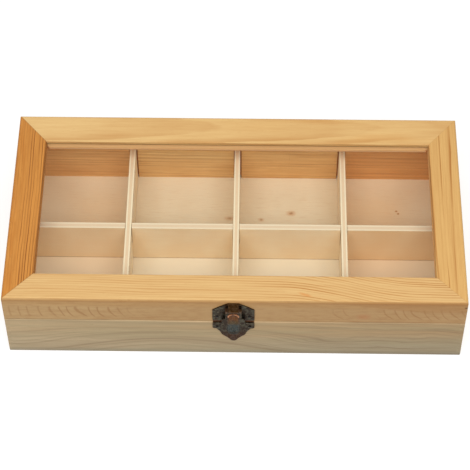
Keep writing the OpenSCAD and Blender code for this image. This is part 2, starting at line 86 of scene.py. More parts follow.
class Val:
    """A value in a finish: Python's operators on it add the Math nodes that work it out."""

    def __init__(self, finish, socket):
        self.finish = finish
        self.socket = socket

    def __add__(self, other):
        return self.finish.math("ADD", self, other)

    def __sub__(self, other):
        return self.finish.math("SUBTRACT", self, other)

    def __rsub__(self, other):
        return self.finish.math("SUBTRACT", other, self)

    def __mul__(self, other):
        return self.finish.math("MULTIPLY", self, other)

    def __truediv__(self, other):
        return self.finish.math("DIVIDE", self, other)

    def __mod__(self, other):
        return self.finish.math("FLOORED_MODULO", self, other)

    def __abs__(self):
        return self.finish.math("ABSOLUTE", self)

    def root(self):
        return self.finish.math("SQRT", self)

    def least(self, other):
        return self.finish.math("MINIMUM", self, other)

    def most(self, other):
        return self.finish.math("MAXIMUM", self, other)

    def rise(self, low, high):
        """0 below low, 1 above high, with a smooth step between them."""
        return self.finish.node("ShaderNodeMapRange", {"interpolation_type": "SMOOTHSTEP"},
                                {"Value": self, "From Min": low, "From Max": high})

    def fall(self, low, high):
        """1 below low, 0 above high."""
        return 1 - self.rise(low, high)

    def near(self, middle, inner, outer):
        """1 within inner of the middle, 0 beyond outer."""
        return abs(self - middle).fall(inner, outer)

    def blend(self, other, amount):
        """This value where amount is 0, the other where it is 1."""
        return self * (1 - amount) + other * amount


class Finish:
    """A material under a plain name, whose nodes all come from one method."""

    def __init__(self, name):
        self.material = bpy.data.materials.new(name)
        self.material.use_nodes = True
        self.tree = self.material.node_tree
        self.tree.nodes.clear()
        place, facing = self.node("ShaderNodeTexCoord", out=("Object", "Normal"))
        self.x, self.y, self.z = (part * MM_PER_M for part in self.split(place))
        _, self.face_y, self.face_z = self.split(facing)

    def node(self, kind, settings=None, sockets=None, out=0):
        """Adds a node. Gives its output as a value, or a tuple of values for a tuple of outputs."""
        made = self.tree.nodes.new(kind)
        for key, value in (settings or {}).items():
            setattr(made, key, value)
        for key, value in (sockets or {}).items():
            if isinstance(value, Val):
                self.tree.links.new(value.socket, made.inputs[key])
            else:
                made.inputs[key].default_value = value
        if out is None:
            return None
        if isinstance(out, tuple):
            return tuple(Val(self, made.outputs[o]) for o in out)
        return Val(self, made.outputs[out])

    def math(self, operation, *values):
        return self.node("ShaderNodeMath", {"operation": operation}, dict(enumerate(values)))

    def split(self, vector):
        return self.node("ShaderNodeSeparateXYZ", sockets={0: vector}, out=(0, 1, 2))

    def spot(self, x, y, z):
        return self.node("ShaderNodeCombineXYZ", sockets={0: x, 1: y, 2: z})

    def noise(self, x, y, z, detail=2.0, rough=0.5):
        return self.node("ShaderNodeTexNoise", {"noise_dimensions": "3D"},
                         {"Vector": self.spot(x, y, z), "Scale": 1.0, "Detail": detail,
                          "Roughness": rough})

    def mix(self, amount, first, second, mode="MIX"):
        return self.node("ShaderNodeMix", {"data_type": "RGBA", "blend_type": mode},
                         {0: amount, 6: first, 7: second}, out=2)

    def bump(self, height, depth_mm, strength, normal=None):
        sockets = {"Height": height, "Strength": strength, "Distance": depth_mm * MM}
        if normal is not None:
            sockets["Normal"] = normal
        return self.node("ShaderNodeBump", sockets=sockets)

    def shader(self, **sockets):
        """A Principled shader. A socket's name is written with _ for each space."""
        names = {key.replace("_", " "): value for key, value in sockets.items()}
        return self.node("ShaderNodeBsdfPrincipled", sockets=names)

    def done(self, shader):
        self.node("ShaderNodeOutputMaterial", sockets={"Surface": shader}, out=None)
        return self.material


# ---- Objects ----

def paint(nodes, finish):
    """Gives CAD nodes their finish."""
    for node in nodes:
        data = NODES[node].data
        data.materials.clear()
        data.materials.append(finish)


def mesh_object(name, shape, finish):
    """Puts a bmesh into the scene as an object of its own."""
    data = bpy.data.meshes.new(name)
    shape.to_mesh(data)
    shape.free()
    data.materials.append(finish)
    made = bpy.data.objects.new(name, data)
    bpy.context.scene.collection.objects.link(made)
    return made


# ---- Wood ----

WARM_LINE = tone(196, 132, 66)
WEATHERED_LINE = tone(132, 106, 76)
# the darkening colour for dust, dark joints and painted shade
DUST_AND_SHADE = tone(110, 78, 48)


def rings(f, reach, spacing, along, seed=0.0, thin=0.45):
    """Dark late-wood lines across a distance, with uneven gaps and weights, up to 1."""
    uneven = reach + f.noise(reach / spacing * 0.45, seed, along * 0.002) * (spacing * 1.7)
    part = (uneven / spacing) % 1.0
    weight = f.noise(uneven / spacing * 0.9 + seed, along * 0.012, 3.7).rise(0.3, 0.72) * 1.2 + 0.1
    return part.rise(thin, 0.9) * part.fall(0.92, 1.0) * weight


def growth_lines(f, axes, heart, spacing, taper=0.0, sway=0.6, seed=0.0, thin=0.45):
    """Growth rings round a heart line, which runs along the first of the three axes."""
    along, u, v = axes
    drift = f.noise(along * 0.011, u * 0.03 + seed, v * 0.03) - 0.5
    ripple = f.noise(along * 0.045, u * 0.2, v * 0.2 + seed) - 0.5
    side = u - heart[0] + drift * (sway * 8)
    height = v - heart[1]
    reach = (side * side + height * height).root() + along * taper + ripple * sway
    return rings(f, reach, spacing, along, seed, thin)


def fibres(f, axes, seed):
    """Fine streaks that run with the grain, from 0 to 1."""
    along, u, v = axes
    fine = f.noise(along * 0.06, u * 1.7 + seed, v * 1.7, detail=4.0, rough=0.6)
    broad = f.noise(along * 0.012, u * 0.3 + seed, v * 0.3, detail=3.0)
    return fine * 0.55 + broad * 0.45


def pores(f, axes):
    """Short dark flecks, as resin ducts leave."""
    along, u, v = axes
    return f.noise(along * 0.22, u * 2.6, v * 2.6, detail=1.0).rise(0.68, 0.78)


def planed(f, streaks, flecks, pale, dark, lines, strength, shade=None):
    """Planed pine: growth lines, streaks and flecks over a pale ground, darkened by shade, which
    carries dark joints, marks and painted shade.
    """
    ground = f.mix(streaks.rise(0.3, 0.7), pale, f.mix(0.3, pale, dark))
    colour = f.mix((lines * strength).least(1.0), ground, dark)
    colour = f.mix(flecks * 0.28, colour, dark)
    if shade is not None:
        colour = f.mix(shade.least(1.0), colour, DUST_AND_SHADE, "MULTIPLY")
    relief = streaks * 0.6 - lines * 0.5 - flecks * 0.5
    return f.done(f.shader(Base_Color=colour, Roughness=streaks * 0.14 + 0.5,
                           Normal=f.bump(relief, 0.12, 0.6), Specular_IOR_Level=0.35))


def pine(f, axes, seed, **look):
    """A planed board, whose streaks and flecks run along the first of its axes."""
    return planed(f, fibres(f, axes, seed), pores(f, axes), **look)


def lengthwise(f):
    """The axes of a board that runs along the front."""
    return (f.x, f.y, f.z)


def crosswise(f):
    """The axes of a board that runs from front to back."""
    return (f.y, f.x, f.z)


def mitre_line(f, rail_w):
    """A hairline where a rail of the lid meets its neighbours, plainer on the left."""
    off = (END_X - abs(f.x)) / SIDE_RAIL_W - (BOX_D / 2 - abs(f.y)) / rail_w
    hairline = abs(off * SIDE_RAIL_W).fall(0.15, 0.6)
    return hairline * f.z.rise(LID_TOP - 3, LID_TOP - 2) * (f.x.fall(-1, 1) * 0.18 + 0.08)


def side_mitres(f):
    """The hairlines at both ends of a side rail."""
    front = mitre_line(f, FRONT_RAIL_W) * f.y.fall(-1, 1)
    back = mitre_line(f, BACK_RAIL_W) * f.y.rise(-1, 1)
    return front + back


def seam_shade(f):
    """A thin shadow on the lid just above the seam."""
    return f.z.near(BASE_H + 0.4, 0.2, 0.7) * 0.35


def outer_front(f):
    """1 on the outer faces at the front of the box, 0 behind them."""
    return (f.y - FRONT_Y).fall(SKIN_DEPTH - 0.3, SKIN_DEPTH + 0.3)


def behind_hasp(f):
    """1 in the strip of wood that the hasp's plates cover from side to side."""
    return f.x.near(HASP_X, HASP_HALF_W - 0.8, HASP_HALF_W + 0.2)


def hasp_painted_shade(f):
    """Painted shade in the wood behind the hasp, on both sides of the seam, where the plates shade it.
    """
    return behind_hasp(f) * f.z.near(BASE_H + 0.4, 1.8, 3.2) * outer_front(f) * 1.5


def end_cell_shade(f, both, right, middle=-2):
    """How strongly the cells at both ends, and the one at the right again, take a warm painted shade,
    standing in for their dimmer, warmer light.
    """
    low, high = DIVIDER_PITCH - 2, DIVIDER_PITCH + 10
    return abs(f.x - middle).rise(low, high) * both + f.x.rise(low, high) * right


def past_divider(f):
    """The signed distance along X from the nearest cross divider's middle."""
    return (f.x + DIVIDER_PITCH / 2) % DIVIDER_PITCH - DIVIDER_PITCH / 2


# ---- The lid's front ----

def skirt_arcs(f):
    """Small arcs in the middle of the skirt, where the grain dives through it."""
    height = f.z - BASE_H
    drop = ((17 - height) / 12).most(0)
    lean = ((f.x + 160) * 0.075).most(1.0).least(6)
    place = f.x - drop * drop * lean + f.noise(f.x * 0.05, f.z * 0.02, 1.0) * 11
    part = (place / 7) % 1.0
    arc = part.rise(0.7, 0.87) * part.fall(0.89, 1.0)
    left = f.x.fall(-92, -58) * (f.x.near(-112, 15, 48) * 0.5 + 0.5)
    right = f.x.rise(98, 110) * 0.7 + f.x.near(75, 3, 9) * 0.5
    patch = f.noise(f.x * 0.05, f.z * 0.05, 8.0).rise(0.25, 0.6) * 0.6 + 0.4
    return arc * (left + right) * patch * height.rise(3.5, 6) * height.fall(15, 18)


def skirt_lines(f):
    """The arcs, fine level lines along the foot and a soft mottle."""
    low = rings(f, f.z + f.x * 0.006, 1.7, f.x, seed=3.0) * (f.z - BASE_H).fall(5, 8)
    low = low * (f.x.fall(-90, -20) * 0.5 + 0.5)
    mottle = f.noise(f.x * 0.09, f.z * 0.3, 4.0, detail=4.0, rough=0.65).rise(0.42, 0.72)
    return (skirt_arcs(f) * 1.35 + low + mottle * 0.55).least(1.0)


def skirt_ground(f):
    """Tan at the left and browner to the right, and warmer towards the top edge."""
    height = f.z - BASE_H
    below_top = LID_TOP - f.z
    pale = f.mix(f.x.rise(-END_X, 120), tone(206, 171, 121), tone(197, 160, 112))
    pale = f.mix(f.x.near(-40, 20, 75) * 0.7, pale, tone(197, 160, 111))
    pale = f.mix(height.rise(15, 21) * 0.5, pale, tone(196, 150, 90))
    # a dark sweep comes down from the top edge on the right
    sweep = (f.x.rise(70, 140) * 9 + 3.5 - below_top).rise(-0.5, 1.5) * f.x.rise(55, 100)
    edge = below_top.fall(2.2, 4.5) * below_top.rise(0.6, 1.4)
    pale = f.mix(((sweep + edge) * 0.4).least(1.0), pale, tone(176, 124, 68))
    flush = f.x.near(92, 1, 7) * height.near(7.5, 0.5, 5)
    return f.mix(flush * 0.5, pale, tone(196, 128, 84))


def top_ground(f):
    """The pale top of the front rail, with an orange fleck right of the middle."""
    fleck = abs(f.y + 78.3 + (f.x - 50) * 0.33).fall(0.3, 1.6) * f.x.near(50, 1.5, 6)
    return f.mix(fleck * 0.6, tone(234, 195, 133), tone(228, 148, 74))


def lid_front_finish():
    f = Finish("lid front pine")
    skirt = outer_front(f)
    # the grain sweeps across the rail in its right half
    bend = f.x.rise(35, 130) * 15 + f.x * 0.015
    sweeping = growth_lines(f, (f.x, f.y + bend, f.z), (-190, 40), 2.1, sway=0.5, seed=2.0)
    sweeping = sweeping * (f.x.rise(-20, 60) * 0.8 + 0.85)
    nick = f.x.near(END_X - 1, 0.5, 1.8) * f.z.near(60.3, 0.5, 1.2) * skirt * 0.7
    return pine(f, lengthwise(f), seed=4.0,
                pale=f.mix(skirt, top_ground(f), skirt_ground(f)),
                dark=f.mix(skirt, WARM_LINE, tone(166, 118, 68)),
                lines=sweeping.blend(skirt_lines(f), skirt), strength=0.62,
                shade=mitre_line(f, FRONT_RAIL_W) + seam_shade(f) + hasp_painted_shade(f) + nick)


# ---- The lid's other rails and the beads ----

def lid_back_finish():
    f = Finish("lid back pine")
    lines = growth_lines(f, lengthwise(f), (75, 34), 3.4, taper=0.03, sway=0.8, seed=7.0, thin=0.2)
    flame = f.noise(f.x * 0.012, f.y * 0.06, 4.0, detail=2.0).rise(0.45, 0.7) * f.x.rise(-40, 90)
    pale = f.mix(f.x.rise(-150, 60), tone(241, 203, 139), tone(237, 197, 132))
    pale = f.mix(flame * 0.5, pale, tone(232, 178, 106))
    # painted shade on the rail's edge over the glass, darkest at its foot
    lip_shade = f.face_y.fall(-0.8, -0.5) * (f.y - WINDOW_BACK_Y).fall(1, 2)
    lip_shade = lip_shade * ((LID_TOP - f.z).rise(2, 2.6) * 0.5 + 0.14)
    return pine(f, lengthwise(f), seed=9.0, pale=pale, dark=WARM_LINE, lines=lines, strength=0.4,
                shade=mitre_line(f, BACK_RAIL_W) + seam_shade(f) + lip_shade)


def lid_left_finish():
    f = Finish("lid left dark pine")
    lines = growth_lines(f, crosswise(f), (-235, 45), 1.9, sway=0.5, seed=11.0, thin=0.55)
    inner = f.x.rise(-160, -154)
    mottle = f.noise(f.y * 0.05, f.x * 0.35, 3.0, detail=3.0).rise(0.35, 0.65)
    pale = f.mix(mottle * (1.2 - inner) * 0.5, tone(223, 153, 72), tone(208, 134, 56))
    # painted shade along the rail's inner edge over the glass
    lip_shade = (f.x + WINDOW_X).rise(-0.9, -0.3) * 0.55
    return pine(f, crosswise(f), seed=12.0, pale=pale, dark=tone(134, 68, 22),
                lines=(lines * (inner * 0.9 + 0.3)).most(lip_shade), strength=0.8,
                shade=side_mitres(f) + seam_shade(f))


def lid_right_finish():
    f = Finish("lid right pine")
    broad = growth_lines(f, crosswise(f), (65.1, 58), 7.2, sway=0.35, seed=17.0, thin=0.74)
    fine = growth_lines(f, crosswise(f), (61, 50), 1.9, sway=0.4, seed=19.0)
    return pine(f, crosswise(f), seed=14.0, pale=tone(232, 186, 116), dark=tone(186, 124, 60),
                lines=broad * 1.1 + fine * 0.25, strength=0.8,
                shade=side_mitres(f) + seam_shade(f))


def bead_finish():
    f = Finish("glazing bead pine")
    streaks = fibres(f, (f.x * 0.4 + f.y * 0.4, f.y * 0.5 + f.z, f.z), 41.0)
    flecks = pores(f, (f.x * 0.3, f.y * 0.3, f.z))
    # the left bead is darker: painted shade under the left rail
    pale = f.mix((f.x + WINDOW_X).fall(0.5, 1), tone(239, 189, 131), tone(200, 132, 66))
    pale = f.mix((f.x - WINDOW_X).rise(-1, -0.5), pale, tone(240, 182, 116))
    # the back bead has a painted highlight line above its foot, which carries painted shade
    back = (f.y - BACK_BEAD_Y).rise(-0.5, -0.2) * f.face_y.fall(-0.5, -0.1)
    height = f.z - BEAD_FOOT_Z
    foot_shade = height.fall(0.9, 1.3)
    pale = f.mix(back * height.fall(1.6, 1.9) * (1 - foot_shade), pale, tone(252, 212, 164))
    pale = f.mix(back * foot_shade, pale, tone(190, 128, 76))
    return planed(f, streaks, flecks, pale=pale, dark=tone(200, 140, 84),
                  lines=streaks * 0.3, strength=0.5)


# ---- The base's boards ----

def front_ground(f):
    """The weathered ground of the base's front: tan above, olive and blue-grey below."""
    # darker to the right: painted shade, as if lit from the left
    across = f.x.rise(-END_X, END_X)
    upper = f.mix(across, tone(212, 184, 142), tone(196, 163, 119))
    lower = f.mix(across, tone(203, 182, 147), tone(181, 166, 136))
    pale = f.mix(f.z.rise(8, 34), lower, upper)
    band = f.noise(f.x * 0.006, f.z * 0.13, 6.0, detail=2.0).rise(0.4, 0.65)
    pale = f.mix(band * 0.35, pale, tone(178, 170, 134))
    pale = f.mix(f.z.fall(0.5, 6) * 0.45, pale, tone(146, 146, 132))
    # the upper edge catches the light, more to the right
    edge = f.z.near(BASE_H - 0.5, 0.25, 0.6) * (f.x.rise(-150, -20) * 0.3 + 0.12)
    return f.mix(edge * (1 - behind_hasp(f)), pale, tone(250, 220, 172))


def front_grain(f):
    """A low, wide hump in the grain of the base's front, highest left of the middle."""
    side = abs(f.x + 48)
    right = f.x.rise(20, 90)
    hump = side.rise(0, 112) * f.z.fall(4, 42) * 17
    wave = f.noise(f.x * 0.026, f.z * 0.04, 2.0) * right * 6
    reach = f.z + hump + wave + f.noise(f.x * 0.012, f.z * 0.07, 9.0) * 3
    broad = rings(f, reach, 5.6, f.x, seed=23.0, thin=0.3) * (f.x.rise(-140, -70) * 0.15 + 0.22)
    fine = rings(f, reach, 1.6, f.x, seed=29.0, thin=0.35) * (right * 0.15 + 0.3)
    vein = reach.near(19, 0.2, 1.7) * side.fall(70, 120) * 0.6
    return broad + fine + vein


def darker_foot(f, height=1.0):
    """Darker along the lower edge, where the box stands."""
    return f.z.fall(0.0, height) * 0.3


def base_front_finish():
    f = Finish("base front pine")
    outer = outer_front(f)
    rear = growth_lines(f, lengthwise(f), (-84, -50), 3.4, taper=0.012, sway=0.8, seed=27.0)
    return pine(f, lengthwise(f), seed=24.0,
                pale=f.mix(outer, tone(240, 208, 160), front_ground(f)),
                dark=f.mix(outer, tone(190, 138, 88), WEATHERED_LINE),
                lines=(rear * 0.6).blend(front_grain(f), outer), strength=0.66,
                shade=hasp_painted_shade(f) + darker_foot(f))


def base_back_finish():
    f = Finish("base back pine")
    lines = growth_lines(f, lengthwise(f), (84, -60), 3.6, taper=0.012, sway=1.4, seed=31.0, thin=0.2)
    depth = f.y - BACK_BOARD_Y
    right = f.x.rise(-10, 10)
    cloud = f.noise(f.x * 0.035, f.y * 0.1, f.z * 0.14, detail=4.0, rough=0.65).rise(0.25, 0.75)
    # lighter towards the top: painted light against the lid's shadow, with the wood's own mottle
    pale = f.mix((f.z.fall(8, 36) + cloud) * 0.5,
                 f.mix(right, tone(249, 213, 148), tone(246, 204, 138)),
                 f.mix(right, tone(229, 180, 116), tone(226, 172, 106)))
    pale = f.mix(f.z.rise(31, 39) * f.x.fall(20, 50) * 0.7, pale, tone(238, 184, 108))
    # painted shade: warmer and darker in the end cells, on the inner face
    ends = end_cell_shade(f, both=0.35, right=0.3, middle=0)
    pale = f.mix(ends * depth.fall(1.5, 3.5), pale, tone(231, 160, 92))
    # the dadoes' walls carry a painted orange, standing in for warm light in the gaps, and a painted
    # shadow line runs beside each divider
    dado = depth.rise(0.05, 0.3) * depth.fall(DADO_DEPTH + 0.2, DADO_DEPTH + 0.3)
    dado = dado * (f.z - BOTTOM_T).rise(-0.2, 0.1) * abs(f.face_z).fall(0.3, 0.6)
    pale = f.mix(dado, pale, tone(255, 130, 50))
    inward = past_divider(f) * (1 - f.x.rise(39, 41) * 2) - CROSS_DIVIDER_T / 2
    gap_shadow = inward.rise(-0.1, 0.1) * inward.fall(0.85, 1.25) * abs(f.x).fall(100, 101)
    gap_shadow = gap_shadow * depth.fall(0.2, 0.4) * (f.z - BOTTOM_T).rise(-0.1, 0.4)
    pale = f.mix(gap_shadow * 0.85, pale, tone(150, 82, 34))
    return pine(f, lengthwise(f), seed=33.0, pale=pale, dark=tone(176, 108, 54),
                lines=lines, strength=0.38, shade=darker_foot(f, 1.2))


def base_side_finish(name, seed):
    f = Finish(name)
    lines = growth_lines(f, crosswise(f), (0, -45), 3.4, taper=0.012, sway=0.5, seed=seed)
    end = f.face_y.fall(-0.9, -0.4)
    inside = (END_X - BOARD_T - abs(f.x)).rise(-0.5, -0.1)
    pale = f.mix(inside, tone(236, 198, 146), tone(248, 224, 184))
    return pine(f, crosswise(f), seed=seed,
                pale=f.mix(end, pale, front_ground(f)),
                dark=f.mix(end, tone(184, 130, 80), WEATHERED_LINE),
                lines=(lines * 0.75).blend(front_grain(f), end), strength=0.6,
                shade=darker_foot(f))


# ---- Plywood ----

def plywood(f, axes, half_t, pale, dark, tint_and_painted_light, edge=0.9, cloud=0.25, streak=0.0):
    """A veneered sheet, which shows its plies at an upper edge. The last axis starts at its middle."""
    along, across, depth = axes
    depth = abs(depth)
    veneer = f.noise(along * 0.05, across * 0.35, 5.0, detail=3.0, rough=0.55)
    mottle = f.noise(along * 0.06, across * 0.04, 9.0, detail=3.0)
    colour = f.mix((veneer * 0.25 + mottle.rise(0.3, 0.7) * cloud).least(1.0), pale, dark)
    top = f.face_z.rise(0.5, 0.9) * edge
    colour = f.mix(top, colour, tone(254, 236, 202))
    core = depth.fall(half_t * 0.32, half_t * 0.56)
    rough_core = f.noise(along * 0.3, across * 0.3, depth * 1.5, detail=3.0)
    colour = f.mix(core * top * (rough_core * 0.3 + 0.42), colour, tone(228, 184, 140))
    glue = depth.near(half_t * 0.45, 0.05, 0.25)
    colour = f.mix(glue * top * 0.14, colour, tone(170, 120, 76))
    fine = f.noise(along * 0.09, across * 0.9, 12.0, detail=3.0, rough=0.6).rise(0.5, 0.75)
    colour = tint_and_painted_light(f, f.mix(fine * streak, colour, dark))
    relief = veneer - core * 0.2 - glue * 0.2
    return f.done(f.shader(Base_Color=colour, Roughness=veneer * 0.12 + 0.56,
                           Normal=f.bump(relief, 0.1, 0.5), Specular_IOR_Level=0.3))


def foot_shadow_line(f, colour):
    """A painted shadow line where a divider stands on the bottom."""
    return f.mix((f.z - BOTTOM_T).fall(0.2, 0.9) * 0.6, colour, tone(140, 92, 48))


def cross_painted_shade(f, colour):
    """Painted shade: brown ends where the cross dividers stand in the dadoes, and a painted shadow
    line at the foot.
    """
    ends = (abs(f.y) - BACK_BOARD_Y).rise(-0.1, 0.2)
    return foot_shadow_line(f, f.mix(ends * 0.8, colour, tone(190, 110, 54)))


def cross_finish():
    f = Finish("cross divider plywood")
    return plywood(f, (f.y, f.z, past_divider(f)), CROSS_DIVIDER_T / 2,
                   tone(255, 242, 214), tone(244, 208, 160), cross_painted_shade)


def long_tint_and_painted_shade(f, colour):
    """Painted shade: the long divider is more orange in the cells at both ends, with a painted shadow
    line at its foot; its upper edge is toned greyer.
    """
    face = f.face_z.fall(0.3, 0.6)
    ends = end_cell_shade(f, both=0.24, right=0.32) * face
    colour = f.mix((1 - face) * 0.3, colour, tone(228, 206, 180))
    return foot_shadow_line(f, f.mix(ends, colour, f.mix(0.6, colour, tone(244, 184, 110))))


def long_finish():
    f = Finish("long divider plywood")
    return plywood(f, (f.x, f.z, f.y), LONG_DIVIDER_T / 2,
                   tone(250, 228, 192), tone(239, 198, 145), long_tint_and_painted_shade)


# Knots in the bottom: the middle's X and Y, the half length, the half width and the strength
KNOTS = (
    (41.7, 41.0, 3.6, 2.6, 1.0),
    (18.6, 34.5, 2.4, 1.9, 0.8),
    (-5.5, 35.6, 4.0, 2.2, 0.7),
    (122.8, 44.0, 1.1, 0.9, 1.7),
    (124.2, 41.6, 1.1, 0.9, 1.7),
)


def knot(f, colour, x, y, long, short, deep):
    """A brown knot with a darker heart, lying along X in the sheet."""
    du = (f.x - x) / long
    dv = (f.y - y) / short
    reach = (du * du + dv * dv).root() + (f.noise(f.x * 0.6, f.y * 0.6, 2.0) - 0.5) * 0.5
    colour = f.mix(reach.fall(0.5, 1.4) * 0.45 * deep, colour, tone(206, 146, 86))
    return f.mix(reach.fall(0.15, 0.65) * 0.6 * deep, colour, tone(166, 104, 50))


def bottom_knots_and_painted_light(f, plain):
    """Paler towards the front and the walls as painted light, warmer in the cells at both ends as
    painted shade, with the knots, and plain underneath.
    """
    front = f.y.fall(-4, -1)
    walls = abs(f.x).rise(112, 150).most(f.y.rise(45, 75))
    colour = f.mix((front * 0.85).most(walls * 0.35), plain, tone(247, 233, 207))
    ends = end_cell_shade(f, both=0.5, right=0.15) * (1 - walls * 0.55) * (1 - front * 0.12)
    colour = f.mix(ends, colour, f.mix(0.5, colour, tone(234, 168, 92)))
    for place in KNOTS:
        colour = knot(f, colour, *place)
    return f.mix(f.face_z.rise(0.3, 0.7), plain, colour)


def bottom_finish():
    f = Finish("bottom plywood")
    return plywood(f, (f.x, f.y, f.z - BOTTOM_T / 2), BOTTOM_T / 2,
                   tone(238, 221, 190), tone(217, 183, 140), bottom_knots_and_painted_light,
                   edge=0.0, cloud=0.12, streak=0.4)


# ---- Glass and metal ----

CLEAR = (0.99, 1.0, 0.995, 1.0)


def glass_finish():
    f = Finish("clear window glass")
    shadow, diffuse = f.node("ShaderNodeLightPath", out=("Is Shadow Ray", "Is Diffuse Ray"))
    smear = f.noise(f.x * 0.03, f.y * 0.03, 1.0, detail=3.0)
    pane = f.shader(Base_Color=CLEAR, Roughness=smear * 0.015, Transmission_Weight=1.0, IOR=1.45,
                    Specular_IOR_Level=0.2, Specular_Tint=(0.3, 0.25, 0.2, 1.0))
    clear = f.node("ShaderNodeBsdfTransparent", sockets={"Color": CLEAR})
    return f.done(f.node("ShaderNodeMixShader", sockets={0: shadow.most(diffuse), 1: pane, 2: clear}))


def bronze_finish(name, tint_and_painted_light=None, ground=tone(46, 32, 21), bloom_tone=tone(70, 66, 48)):
    """Antique bronze: dark brown metal, grey-green bloom, and copper where it is rubbed."""
    f = Finish(name)
    bloom = f.noise(f.x * 0.35, f.y * 0.35, f.z * 0.35, detail=4.0, rough=0.6).rise(0.42, 0.62)
    speck = f.noise(f.x * 1.6, f.y * 1.6, f.z * 1.6, detail=3.0, rough=0.7)
    bright = f.noise(f.x * 1.1, f.y * 1.1, f.z * 1.1 + 20, detail=2.0).rise(0.6, 0.72)
    soft = f.node("ShaderNodeBevel", {"samples": 6}, {"Radius": 0.35 * MM})
    hard = f.node("ShaderNodeNewGeometry", out="Normal")
    turn = f.node("ShaderNodeVectorMath", {"operation": "DOT_PRODUCT"}, {0: soft, 1: hard}, out=1)
    rubbed = (1 - turn).rise(0.02, 0.2) * (speck * 0.9 + 0.25)
    colour = f.mix(bloom, ground, bloom_tone)
    if tint_and_painted_light is not None:
        colour = tint_and_painted_light(f, colour)
    colour = f.mix(speck.rise(0.48, 0.66) * 0.85, colour, tone(16, 11, 7))
    colour = f.mix(bright * 0.5, colour, tone(140, 122, 90))
    colour = f.mix((rubbed * 0.5).least(1.0), colour, tone(140, 92, 56))
    return f.done(f.shader(Base_Color=colour, Metallic=1 - bloom * 0.35, Roughness=speck * 0.25 + 0.3,
                           Normal=f.bump(speck, 0.05, 0.5, soft)))


# The bill of the flap, in heights above the seam: a stadium that is narrower at its top
BILL_TOP = 10.6
BILL_FOOT = -3
BILL_HALF_W = 4.8
BILL_TOP_HALF_W = 4.0
BILL_TAPER = 0.059
SHOULDERS = 14.9


def flap_wear_and_painted_light(f, colour):
    """Worn copper in an arch over the bill, brighter at its sides as a painted highlight; brown inside
    it, with painted shade deepest at its top; then a painted blue-grey reflection down to the tip.
    """
    h = f.z - BASE_H
    across = abs(f.x - HASP_X)
    beyond = (h - BILL_TOP).most(0) + (BILL_FOOT - h).most(0)
    half_w = (BILL_HALF_W - (h - BILL_FOOT) * BILL_TAPER).least(BILL_HALF_W).most(BILL_TOP_HALF_W)
    share = (across * across + beyond * beyond).root() / half_w
    inside = f.mix(h.fall(0.5, 3.5), tone(88, 70, 44), tone(68, 73, 71))
    inside = f.mix(h.rise(4, 7.5), inside, tone(104, 62, 28))
    inside = f.mix(h.rise(10.5, 12), inside, tone(78, 42, 18))
    inside = f.mix(h.fall(-7, -5), inside, tone(60, 55, 47))
    arch = h.rise(10, 11.5) * (across.rise(0.2, 1.6) * 0.5 + 0.5)
    rim = f.mix(arch, f.mix(h.rise(1, 5), tone(58, 60, 56), tone(66, 44, 26)), tone(212, 148, 108))
    bill = f.mix(share.rise(0.8, 0.86), inside, rim)
    colour = f.mix(share.fall(1.02, 1.07) * (h - SHOULDERS).fall(0, 0.3), colour, bill)
    return f.mix((h - SHOULDERS).rise(0, 0.7), colour, tone(84, 56, 34))


def upper_plate_stain(f, colour):
    """Browner over the hood in the middle."""
    hood = f.x.near(HASP_X, 4.5, 6.5) * (f.z - BASE_H).rise(13, 16)
    return f.mix(hood * 0.8, colour, tone(92, 60, 28))


def lower_plate_stain(f, colour):
    """Brown at the point under the bill and at the wings' edges."""
    h = f.z - BASE_H
    point = h.fall(-17, -13.5) + h.fall(-12, -8) * 0.35
    wings = (abs(f.x - HASP_X) - HASP_HALF_W).rise(-2.5, -0.5)
    wings = wings * f.noise(f.x * 0.8, f.z * 0.8, 5.0).rise(0.45, 0.6)
    return f.mix((point + wings * 0.5).least(1.0), colour, tone(62, 33, 6))


def steel_finish():
    f = Finish("hinge and hasp pins")
    speck = f.noise(f.x * 1.2, f.y * 2.0, f.z * 2.0, detail=3.0)
    colour = f.mix(speck, tone(120, 96, 72), tone(78, 62, 50))
    return f.done(f.shader(Base_Color=colour, Metallic=1.0, Roughness=speck * 0.2 + 0.3,
                           Normal=f.bump(speck, 0.03, 0.4)))


# ---- Lower plate of the hasp ----

PLATE_T = 0.8
CATCH_T = 0.7
SHELL_OVERLAP = 0.1
RIM_ROUND = 0.12

# Corners beside the hasp's middle: out to the side, above the seam, and the corner's radius
PLATE_SIDE = (
    (HASP_HALF_W, -0.4, 1.6),
    (HASP_HALF_W, -7.8, 1.6),
    (12.4, -7.8, 0.6),
    (9.7, -11.6, 2.5),
    (8.4, -15.4, 1.6),
    (4.2, -19.6, 6),
)
PLATE_POINT = (0, -25.2, 2.2)
CATCH_FOOT_SIDE = ((3.2, -2, 0.2), (3.2, -5, 1.2))
CATCH_SIDE = ((3.2, 11, 1.2), (3.2, -5, 1.2))


def both_sides(side, point=()):
    """The corners of one side, a point if there is one, and the other side's corners."""
    return [*side, *point, *((-x, h, radius) for x, h, radius in reversed(side))]


def rounded(corners, steps=5):
    """The outline through corners of (x, y, radius), each rounded by an arc."""
    points = []
    for i, (x, y, radius) in enumerate(corners):
        here = Vector((x, y))
        back = (Vector(corners[i - 1][:2]) - here).normalized()
        ahead = (Vector(corners[(i + 1) % len(corners)][:2]) - here).normalized()
        half = back.angle(ahead) / 2
        centre = here + (back + ahead).normalized() * (radius / math.sin(half))
        reach = radius / math.tan(half)
        first = (here + back * reach - centre).normalized()
        last = (here + ahead * reach - centre).normalized()
        for k in range(steps + 1):
            points.append(centre + first.slerp(last, k / steps).normalized() * radius)
    return points


